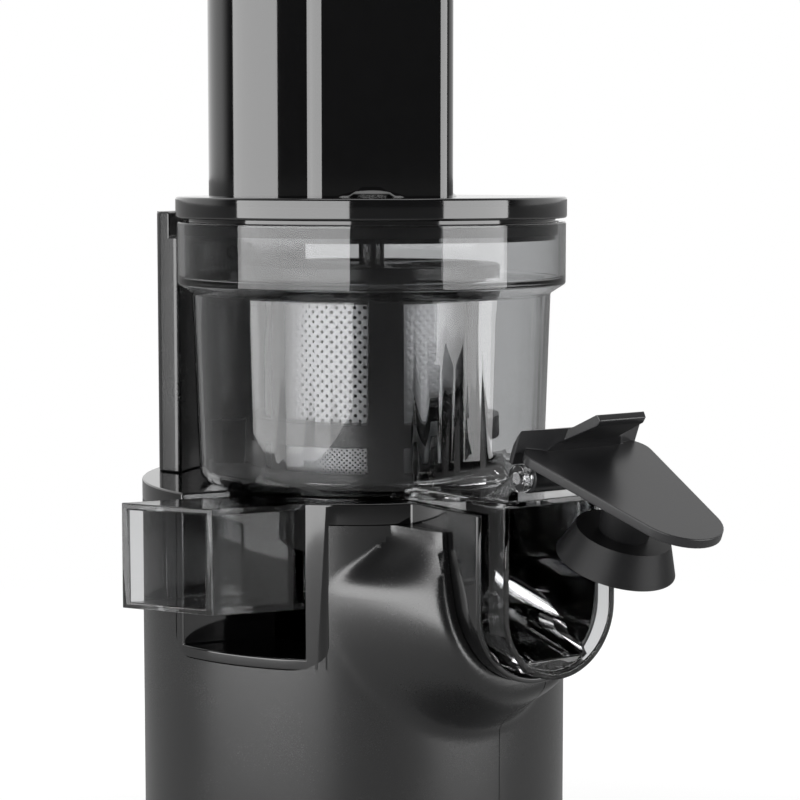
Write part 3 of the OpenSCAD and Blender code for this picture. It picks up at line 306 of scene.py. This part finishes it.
def plain_material(name, colour, metallic=0.0, transmission=0.0, coat=0.0, ior=1.5, specular=0.5):
    """A material with a Principled shader; uniform values stand on its own sockets."""
    made = bpy.data.materials.new(name)
    made.use_nodes = True
    shader = made.node_tree.nodes["Principled BSDF"]
    shader.inputs["Base Color"].default_value = (*colour, 1)
    shader.inputs["Metallic"].default_value = metallic
    shader.inputs["Transmission Weight"].default_value = transmission
    shader.inputs["Coat Weight"].default_value = coat
    shader.inputs["Coat Roughness"].default_value = 0.04
    shader.inputs["IOR"].default_value = ior
    shader.inputs["Specular IOR Level"].default_value = specular
    return made, shader


def add_grain(made, shader, scale, rough, spread, depth, tone=0.35):
    """Grain on a material: roughness, a bump of the given depth in metres, and an uneven colour.

    The colour runs from darker to lighter by the share tone, or stays even where that is 0."""
    tree = made.node_tree
    grain = add_node(tree, "ShaderNodeGroup", (-500, 0), node_tree=grain_group())
    grain.inputs["Scale"].default_value = scale
    grain.inputs["Rough"].default_value = rough
    grain.inputs["Spread"].default_value = spread
    bump = add_node(tree, "ShaderNodeBump", (-250, -200))
    bump.inputs["Distance"].default_value = depth
    bump.inputs["Strength"].default_value = 1.0
    tree.links.new(grain.outputs["Roughness"], shader.inputs["Roughness"])
    tree.links.new(grain.outputs["Height"], bump.inputs["Height"])
    tree.links.new(bump.outputs["Normal"], shader.inputs["Normal"])
    if tone:
        colour = shader.inputs["Base Color"].default_value[:3]
        mix = add_node(tree, "ShaderNodeMix", (-250, 150), data_type="RGBA")
        tree.links.new(grain.outputs["Tone"], mix.inputs["Factor"])
        mix.inputs[COLOUR_A].default_value = (*(part * (1 - tone) for part in colour), 1)
        mix.inputs[COLOUR_B].default_value = (*(part * (1 + tone) for part in colour), 1)
        tree.links.new(mix.outputs[COLOUR_RESULT], shader.inputs["Base Color"])
    return bump


def material(finish):
    """The finish of that name, made once: the frame's own plain materials have the bare names."""
    name = f"{finish}_finish"
    if name in bpy.data.materials:
        return bpy.data.materials[name]
    given = bpy.context.scene.juicer_finish
    recipes = {
        "matte_shell": lambda: grained(
            name, given.shell_colour, given.grain_scale, given.shell_rough, 0.10, 0.022 * MM,
            specular=0.8),
        "gloss_black": lambda: grained(name, given.gloss_colour, 160, 0.07, 0.03, 0.0006 * MM, coat=0.5),
        "satin_black": lambda: grained(name, (0.014, 0.014, 0.015), 1900, 0.30, 0.06, 0.01 * MM),
        "dark_plastic": lambda: grained(name, (0.02, 0.02, 0.021), 1500, 0.38, 0.08, 0.01 * MM),
        "inner_plastic": lambda: grained(name, (0.012, 0.0122, 0.0128), 1200, 0.24, 0.05, 0.008 * MM),
        "white_plastic": lambda: grained(name, (0.72, 0.69, 0.6), 900, 0.35, 0.05, 0.01 * MM),
        "silicone": lambda: grained(
            name, (0.008, 0.008, 0.0085), 900, 0.4, 0.06, 0.01 * MM, specular=0.2),
        "rubber": lambda: grained(name, (0.014, 0.014, 0.014), 1400, 0.62, 0.08, 0.03 * MM),
        "board": lambda: grained(name, (0.02, 0.09, 0.045), 700, 0.4, 0.1, 0.02 * MM),
        "steel": lambda: grained(name, (0.58, 0.58, 0.59), 1600, 0.26, 0.1, 0.004 * MM, metallic=1),
        "zinc_steel": lambda: grained(name, (0.5, 0.51, 0.53), 260, 0.38, 0.14, 0.006 * MM, metallic=1),
        "cast_metal": lambda: grained(name, (0.24, 0.24, 0.25), 800, 0.5, 0.12, 0.03 * MM, metallic=1),
        "copper": lambda: grained(name, (0.55, 0.26, 0.12), 900, 0.35, 0.12, 0.02 * MM, metallic=1),
        "brass_gear": lambda: grained(name, (0.62, 0.46, 0.18), 1300, 0.28, 0.08, 0.004 * MM, metallic=1),
        "smoke_clear": lambda: smoke_clear(name, given.smoke_colour),
        "mesh_coarse": lambda: sieve(name, 70.0, 3.0 * MM, 0.19),
        "mesh_fine": lambda: sieve(name, 132.0, 1.55 * MM, 0.2),
    }
    return recipes[finish]()


def grained(name, colour, scale, rough, spread, depth, metallic=0.0, coat=0.0, specular=0.5):
    """A plain material with moulded or machined grain."""
    made, shader = plain_material(name, colour, metallic=metallic, coat=coat, specular=specular)
    add_grain(made, shader, scale, rough, spread, depth)
    return made


def smoke_clear(name, colour):
    """Clear smoke-grey plastic, a little uneven as moulded."""
    made, shader = plain_material(name, colour, transmission=1.0, ior=1.42)
    add_grain(made, shader, 60, 0.015, 0.01, 0.01 * MM, tone=0)
    return made


def sieve(name, count, pitch, hole):
    """Sheet steel with perforated windows round it."""
    made, shader = plain_material(name, (0.36, 0.36, 0.365), metallic=1.0)
    grain = add_grain(made, shader, 1400, 0.42, 0.12, 0.003 * MM)
    tree = made.node_tree
    holes = add_node(tree, "ShaderNodeGroup", (-500, 200), node_tree=sieve_group())
    holes.inputs["Round"].default_value = count
    holes.inputs["Pitch"].default_value = pitch
    holes.inputs["Hole"].default_value = hole
    holes.inputs["Turn"].default_value = SIEVE_WINDOWS * (1 - SIEVE_EDGE / (2 * math.pi))
    bump = add_node(tree, "ShaderNodeBump", (-250, -200))
    bump.inputs["Distance"].default_value = 0.2 * MM
    tree.links.new(holes.outputs["Mask"], shader.inputs["Alpha"])
    tree.links.new(holes.outputs["Rim"], bump.inputs["Height"])
    tree.links.new(grain.outputs["Normal"], bump.inputs["Normal"])
    tree.links.new(bump.outputs["Normal"], shader.inputs["Normal"])
    return made


SLOT_OF = {part["node"]: part["material_slot"] for part in frame["record"]["subparts"]}


def finish_for(node):
    """A node's finish: its slot's, but each strainer band has a perforation of its own."""
    return node if node in ("mesh_coarse", "mesh_fine") else SLOT_OF[node]


# Mesh helpers

def bmesh_object(name, bm):
    """An object in the scene from a bmesh, which it uses up."""
    mesh = bpy.data.meshes.new(name)
    bm.to_mesh(mesh)
    bm.free()
    made = bpy.data.objects.new(name, mesh)
    bpy.context.scene.collection.objects.link(made)
    return made


def copy_bmesh(mesh):
    bm = bmesh.new()
    bm.from_mesh(mesh)
    return bm


def new_piece(node, bm, smooth=35.0):
    """The finished piece from a bmesh that stands for a CAD node and moves as it does."""
    made = bmesh_object(f"{node}_moulded", bm)
    made.data.materials.append(material(finish_for(node)))
    smooth_by_angle(made.data, smooth)
    flat_faces_stay_flat(made)
    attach(made, body_of(NODES[node])[0])
    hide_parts(node)


def apply_modifiers(made):
    """Turns an object's modifiers into its mesh."""
    graph = bpy.context.evaluated_depsgraph_get()
    mesh = bpy.data.meshes.new_from_object(made.evaluated_get(graph))
    made.modifiers.clear()
    made.data = mesh


def smooth_by_angle(mesh, degrees):
    """Smooth shading, with edges sharper than the angle kept."""
    mesh.polygons.foreach_set("use_smooth", [True] * len(mesh.polygons))
    mesh.set_sharp_from_angle(angle=math.radians(degrees))


def flat_faces_stay_flat(made):
    """Weighs a piece's normals by face area, so that its small rounds don't shade its flats."""
    weighed = made.modifiers.new("weighed", "WEIGHTED_NORMAL")
    weighed.weight = 100
    weighed.keep_sharp = True
    apply_modifiers(made)


def node_bmesh(node):
    """A merged copy of a CAD node's mesh, with its flat faces joined."""
    bm = copy_bmesh(NODES[node].data)
    bmesh.ops.remove_doubles(bm, verts=bm.verts, dist=0.004 * MM)
    bmesh.ops.dissolve_limit(
        bm, angle_limit=math.radians(0.6), verts=bm.verts, edges=bm.edges,
        use_dissolve_boundaries=False)
    return bm


def sharp_edges(bm, least, most=180.0):
    """Edges that are folded by an angle between two numbers of degrees."""
    return [e for e in bm.edges if len(e.link_faces) == 2
            and math.radians(least) < e.calc_face_angle(0) < math.radians(most)]


def round_tall_corners(bm, width, least=60 * MM):
    """Rounds the tall upright corners that stand out, such as a chute's."""
    tall = [e for e in sharp_edges(bm, 40) if e.is_convex
            and abs(e.verts[0].co.z - e.verts[1].co.z) > least
            and (e.verts[0].co - e.verts[1].co).xy.length < 0.1 * MM]
    bmesh.ops.bevel(
        bm, geom=tall, offset=width, offset_type="OFFSET", segments=8, profile=0.5, affect="EDGES",
        clamp_overlap=True, material=-1)


def softened(node, width, segments=3, corners=0.0, keep=None, most=150.0):
    """A copy of a CAD node with its sharp edges rounded, standing for the node.

    keep picks the edges by their middle, and edges folded past most degrees stay sharp."""
    bm = node_bmesh(node)
    if corners:
        round_tall_corners(bm, corners)
    edges = [e for e in sharp_edges(bm, 32, most)
             if keep is None or keep((e.verts[0].co + e.verts[1].co) / 2)]
    bmesh.ops.bevel(
        bm, geom=edges, offset=width, offset_type="OFFSET", segments=segments, profile=0.5,
        affect="EDGES", clamp_overlap=False, material=-1)
    new_piece(node, bm)


def rounded_outline(corners, radius, steps=8):
    """A polygon's outline with its corners turned into arcs."""
    points = []
    for k, corner in enumerate(corners):
        here = Vector((*corner, 0))
        before = (Vector((*corners[k - 1], 0)) - here).normalized()
        after = (Vector((*corners[(k + 1) % len(corners)], 0)) - here).normalized()
        half = before.angle(after) / 2
        reach = radius / math.tan(half)
        centre = here + (before + after).normalized() * radius / math.sin(half)
        first = (here + before * reach - centre).normalized()
        last = (here + after * reach - centre).normalized()
        for step in range(steps + 1):
            points.append((centre + first.slerp(last, step / steps) * radius).xy)
    return points


def u_outline(half, centre_z, top_z, steps=40):
    """A U: straight sides down to a half circle, as (across, height) points."""
    arc = [(-half * math.cos(math.pi * k / steps), centre_z - half * math.sin(math.pi * k / steps))
           for k in range(steps + 1)]
    return [(-half, top_z)] + arc + [(half, top_z)]


def rectangle(sides, heights):
    """The corners of a rectangle between two sides and two heights."""
    (left, right), (low, high) = sides, heights
    return [(left, low), (right, low), (right, high), (left, high)]


def prism(name, outline, origin, across, direction, depth):
    """A closed prism: an outline of (across, height) points, drawn out by depth along a direction."""
    bm = bmesh.new()
    face = bm.faces.new([bm.verts.new(origin + across * a + UP * b) for a, b in outline])
    drawn = bmesh.ops.extrude_face_region(bm, geom=[face])
    moved = [part for part in drawn["geom"] if isinstance(part, bmesh.types.BMVert)]
    bmesh.ops.translate(bm, verts=moved, vec=direction * depth)
    bmesh.ops.recalc_face_normals(bm, faces=bm.faces)
    return bmesh_object(name, bm)


def cut_with(target, cutters, operation="DIFFERENCE"):
    """Applies booleans with the cutters and removes them."""
    for cutter in cutters:
        change = target.modifiers.new("cut", "BOOLEAN")
        change.operation = operation
        change.solver = "EXACT"
        change.object = cutter
    apply_modifiers(target)
    for cutter in cutters:
        bpy.data.objects.remove(cutter)


# Pieces

class JUICER_OT_finish_nodes(bpy.types.Operator):
    """Give every node of the frame its finish"""

    bl_idname = "juicer.finish_nodes"
    bl_label = "Finish the Nodes"
    bl_options = {"REGISTER", "UNDO"}

    def execute(self, context):
        for name, node in NODES.items():
            node.data.materials.clear()
            node.data.materials.append(material(finish_for(name)))
            smooth_by_angle(node.data, 30)
        return {"FINISHED"}


def smooth_step(value):
    value = min(1.0, max(0.0, value))
    return value * value * (3 - 2 * value)


def nose_reach(lateral, height, blend):
    """1 inside the nose's U outline, falling to 0 over the blend outside it.

    The blend narrows towards the shell's rim, which the deck covers."""
    gap = math.hypot(lateral, max(0.0, U_CENTRE_Z - height)) - NOSE_HALF
    under_rim = smooth_step((SHELL_HIGH.z - height) / RIM_FADE)
    return 1 - smooth_step(gap / (blend * (RIM_SHARE + (1 - RIM_SHARE) * under_rim)))


def nose_front(height):
    """How far the nose stands out from the bowl's axis at a height: more at its chin."""
    return NOSE_OUT + CHIN_OUT * smooth_step((CHIN_TOP_Z - height) / CHIN_DROP)


def shell_bmesh(wall, blend):
    """The base shell as one closed wall: a spun section whose outer face runs out into the nose."""
    low, high = SHELL_LOW.z, SHELL_HIGH.z
    inner_r = BASE_R - wall
    section = [(BASE_R, low + (high - low) * k / SHELL_ROWS) for k in range(SHELL_ROWS + 1)]
    section += [(inner_r, high), (inner_r, low)]
    bm = bmesh.new()
    verts = [bm.verts.new(BASE + Vector((r, 0, z))) for r, z in section]
    edges = [bm.edges.new((verts[k - 1], verts[k])) for k in range(1, len(verts))]
    edges.append(bm.edges.new((verts[-1], verts[0])))
    bmesh.ops.spin(
        bm, geom=verts + edges, cent=BASE, axis=UP, dvec=(0, 0, 0), angle=2 * math.pi,
        steps=SHELL_TURNS, use_merge=True, use_duplicate=False)
    bmesh.ops.remove_doubles(bm, verts=bm.verts, dist=0.002 * MM)
    for v in bm.verts:
        out = along(v.co, JUICE_OUT)
        if out <= 0 or (v.co - BASE).xy.length < inner_r + 1 * MM:
            continue
        share = nose_reach(along(v.co, JUICE_SIDE), v.co.z, blend)
        v.co += JUICE_OUT * max(0.0, nose_front(v.co.z) - out) * share
    bmesh.ops.recalc_face_normals(bm, faces=bm.faces)
    return bm


class JUICER_OT_base_shell(bpy.types.Operator):
    """Model the base shell with its nose below the juice spout"""

    bl_idname = "juicer.base_shell"
    bl_label = "Base Shell"
    bl_options = {"REGISTER", "UNDO"}

    def execute(self, context):
        sizes = context.scene.juicer_sizes
        skin = bmesh_object("shell_skin", shell_bmesh(sizes.shell_wall, sizes.nose_blend))
        slot = prism(
            "slot_cut", u_outline(SLOT_HALF, U_CENTRE_Z, DECK_Z + 20 * MM), AXIS + JUICE_OUT * 30 * MM,
            JUICE_SIDE, JUICE_OUT, 60 * MM)
        notch = prism(
            "notch_cut", rounded_outline(rectangle(NOTCH_SIDES, NOTCH_HEIGHTS), NOTCH_CORNER),
            AXIS + PULP_OUT * 5 * MM, PULP_SIDE, PULP_OUT, 90 * MM)
        cut_with(skin, [slot, notch])
        parting = along(BASE, JUICE_SIDE) + PARTING_SIDE
        for node, side in (("shell_front", -1), ("shell_rear", 1)):
            half = bmesh_object("half", copy_bmesh(skin.data))
            near = parting + side * PARTING_HALF
            sides = sorted((near, near + side * PAST_ALL))
            cut_with(half, [prism(
                "keep", rectangle(sides, (-PAST_ALL, 2 * PAST_ALL)), AXIS - JUICE_OUT * PAST_ALL,
                JUICE_SIDE, JUICE_OUT, 2 * PAST_ALL)], "INTERSECT")
            bm = copy_bmesh(half.data)
            bpy.data.objects.remove(half)
            bmesh.ops.remove_doubles(bm, verts=bm.verts, dist=0.01 * MM)
            new_piece(node, bm, smooth=32)
        bpy.data.objects.remove(skin)
        return {"FINISHED"}


def lid_edge(point):
    """Whether a lid edge stands clear of the lid's bush and the lugs below its plate."""
    return (point - AXIS).xy.length > 58 * MM or point.z > LID_Z + 2 * MM


def bowl_edge(point):
    """Whether a bowl edge stands clear of the well in the bowl's floor."""
    return (point - AXIS).xy.length > 62 * MM or point.z > DECK_Z + 20 * MM


class JUICER_OT_rigid_pieces(bpy.types.Operator):
    """Round the edges of the moulded pieces"""

    bl_idname = "juicer.rigid_pieces"
    bl_label = "Moulded Pieces"
    bl_options = {"REGISTER", "UNDO"}

    def execute(self, context):
        edge = context.scene.juicer_sizes.edge_round
        softened("lid", edge * 1.2, corners=5 * MM, keep=lid_edge)
        softened("tower_shell", edge, corners=9 * MM)
        softened("bowl", edge * 0.7, segments=2, keep=bowl_edge)
        softened("juice_cap", edge * 0.5, most=95)
        for node, share in (
                ("deck", 0.85), ("tower_trim", 0.5), ("pusher", 1.0), ("pusher_cap", 1.2),
                ("wiper_frame", 0.55), ("strainer_frame", 0.4), ("switch_bezel", 0.5),
                ("rocker", 0.5), ("feet", 1.2)):
            softened(node, edge * share)
        return {"FINISHED"}


# Studio

def seen_directly(tree):
    """1 for a ray from the camera, also through clear plastic, and 0 once it has bounced."""
    rays = add_node(tree, "ShaderNodeLightPath")
    bounced = maths(tree, "ADD", rays.outputs["Diffuse Depth"], rays.outputs["Glossy Depth"])
    straight = maths(tree, "LESS_THAN", bounced, 0.5)
    through = maths(tree, "MULTIPLY", rays.outputs["Is Transmission Ray"], straight)
    return maths(tree, "MAXIMUM", rays.outputs["Is Camera Ray"], through)


def over_range(tree, value, start, end, low, high):
    """A smooth passage of a socket's value from low at start to high at end."""
    ramp = add_node(tree, "ShaderNodeMapRange", interpolation_type="SMOOTHSTEP")
    for key, number in (("From Min", start), ("From Max", end), ("To Min", low), ("To Max", high)):
        ramp.inputs[key].default_value = number
    tree.links.new(value, ramp.inputs["Value"])
    return ramp.outputs["Result"]


def floor_paper():
    """Grey paper that the camera sees as white away from the object, with its shadow kept near it."""
    made, shader = plain_material("floor_paper", (0.42, 0.42, 0.42))
    shader.inputs["Roughness"].default_value = 0.6
    tree = made.node_tree
    white = add_node(tree, "ShaderNodeEmission")
    where = add_node(tree, "ShaderNodeTexCoord")
    away = add_node(tree, "ShaderNodeVectorMath", operation="LENGTH")
    tree.links.new(where.outputs["Object"], away.inputs[0])
    near, far = 0.3, 1.0
    distance = away.outputs["Value"]
    tree.links.new(over_range(tree, distance, near, far, 2.0, 1.0), white.inputs["Strength"])
    seen = maths(tree, "MULTIPLY", seen_directly(tree), over_range(tree, distance, near, far, 0.36, 1.0))
    mix = add_node(tree, "ShaderNodeMixShader")
    tree.links.new(seen, mix.inputs[0])
    tree.links.new(shader.outputs[0], mix.inputs[1])
    tree.links.new(white.outputs[0], mix.inputs[2])
    tree.links.new(mix.outputs[0], tree.nodes["Material Output"].inputs[0])
    return made


class JUICER_OT_studio(bpy.types.Operator):
    """Set the floor, the lamps, the world and the camera"""

    bl_idname = "juicer.studio"
    bl_label = "Studio"
    bl_options = {"REGISTER", "UNDO"}

    def execute(self, context):
        given = context.scene.juicer_studio
        self.floor()
        self.lamps(given)
        self.world(context, given.camera_turn)
        self.camera(context, given)
        context.scene.view_settings.view_transform = "Standard"
        return {"FINISHED"}

    def floor(self):
        bm = bmesh.new()
        bmesh.ops.create_grid(bm, x_segments=1, y_segments=1, size=80)
        floor = bmesh_object("studio_floor", bm)
        floor.data.materials.append(floor_paper())

    def lamp(self, name, place, size, power, aim):
        data = bpy.data.lights.new(name, "AREA")
        data.shape = "RECTANGLE"
        data.size, data.size_y = size
        data.energy = power
        made = bpy.data.objects.new(name, data)
        bpy.context.scene.collection.objects.link(made)
        made.location = place
        made.rotation_euler = (Vector(place) - Vector(aim)).to_track_quat("Z", "Y").to_euler()

    def lamps(self, given):
        """Two softboxes level with the bowl, turned from the camera's direction, and one above."""
        reach, level = 1.15, UP * 0.3
        for name, turn, size, power in (
                ("left_box", -47, (1.6, 0.66), given.left_power),
                ("right_box", 62, (0.9, 0.66), given.right_power)):
            angle = math.radians(turn) + given.camera_turn
            spot = AXIS + Vector((math.sin(angle), -math.cos(angle), 0)) * reach + level
            self.lamp(name, spot, size, power, AXIS + level)
        above = AXIS + Vector((0, -0.15, 1.4))
        self.lamp("top_box", above, (0.9, 0.7), given.top_power, AXIS + UP * 0.2)

    def world(self, context, turn):
        """White behind the object and dark in front of it, as in a dim studio with a lit backdrop."""
        world = bpy.data.worlds.new("studio")
        context.scene.world = world
        world.use_nodes = True
        tree = world.node_tree
        back = tree.nodes["Background"]
        where = add_node(tree, "ShaderNodeTexCoord")
        behind = add_node(tree, "ShaderNodeVectorMath", operation="DOT_PRODUCT")
        behind.inputs[1].default_value = (-math.sin(turn), math.cos(turn), 0)
        tree.links.new(where.outputs["Generated"], behind.inputs[0])
        backdrop = over_range(tree, behind.outputs["Value"], -0.05, 0.35, 0.05, 0.9)
        strength = maths(tree, "MAXIMUM", seen_directly(tree), backdrop)
        tree.links.new(strength, back.inputs["Strength"])
        back.inputs["Color"].default_value = (1, 1, 1, 1)

    def camera(self, context, given):
        turn = given.camera_turn
        out = Vector((math.sin(turn), -math.cos(turn), 0))
        yaw = math.atan((FRAME_PX / 2 - AXIS_PX) / FOCAL_PX)
        pitch = math.atan((FRAME_PX / 2 - HORIZON_PX) / FOCAL_PX)
        data = bpy.data.cameras.new("photo_camera")
        data.sensor_width = SENSOR
        data.lens = SENSOR * FOCAL_PX / FRAME_PX
        made = bpy.data.objects.new("photo_camera", data)
        context.scene.collection.objects.link(made)
        made.location = AXIS + out * given.camera_distance + UP * (LID_Z + EYE_OVER_LID)
        made.rotation_euler = (math.pi / 2 - pitch, 0, turn - yaw)
        context.scene.camera = made


class JUICER_PT_panel(bpy.types.Panel):
    """The juicer's pieces and settings in the sidebar"""

    bl_idname = "JUICER_PT_panel"
    bl_label = "Cold Press Juicer"
    bl_space_type = "VIEW_3D"
    bl_region_type = "UI"
    bl_category = "Juicer"

    def draw(self, context):
        layout = self.layout
        scene = context.scene
        for group in (scene.juicer_sizes, scene.juicer_finish, scene.juicer_studio):
            column = layout.column(align=True)
            for key in group.__annotations__:
                column.prop(group, key)
        for operator in STEPS:
            layout.operator(operator.bl_idname)


SETTINGS = {
    "juicer_finish": JuicerFinish,
    "juicer_sizes": JuicerSizes,
    "juicer_studio": JuicerStudio,
}
STEPS = (
    JUICER_OT_finish_nodes,
    JUICER_OT_base_shell,
    JUICER_OT_rigid_pieces,
    JUICER_OT_studio,
)


def register():
    for cls in (*SETTINGS.values(), *STEPS, JUICER_PT_panel):
        bpy.utils.register_class(cls)
    for name, group in SETTINGS.items():
        setattr(bpy.types.Scene, name, bpy.props.PointerProperty(type=group))


def unregister():
    for name in SETTINGS:
        delattr(bpy.types.Scene, name)
    for cls in reversed((*SETTINGS.values(), *STEPS, JUICER_PT_panel)):
        bpy.utils.unregister_class(cls)


def main():
    """Registers the add-on and makes every piece in order."""
    register()
    for operator in STEPS:
        space, name = operator.bl_idname.split(".")
        getattr(getattr(bpy.ops, space), name)()


if __name__ == "__main__":
    main()
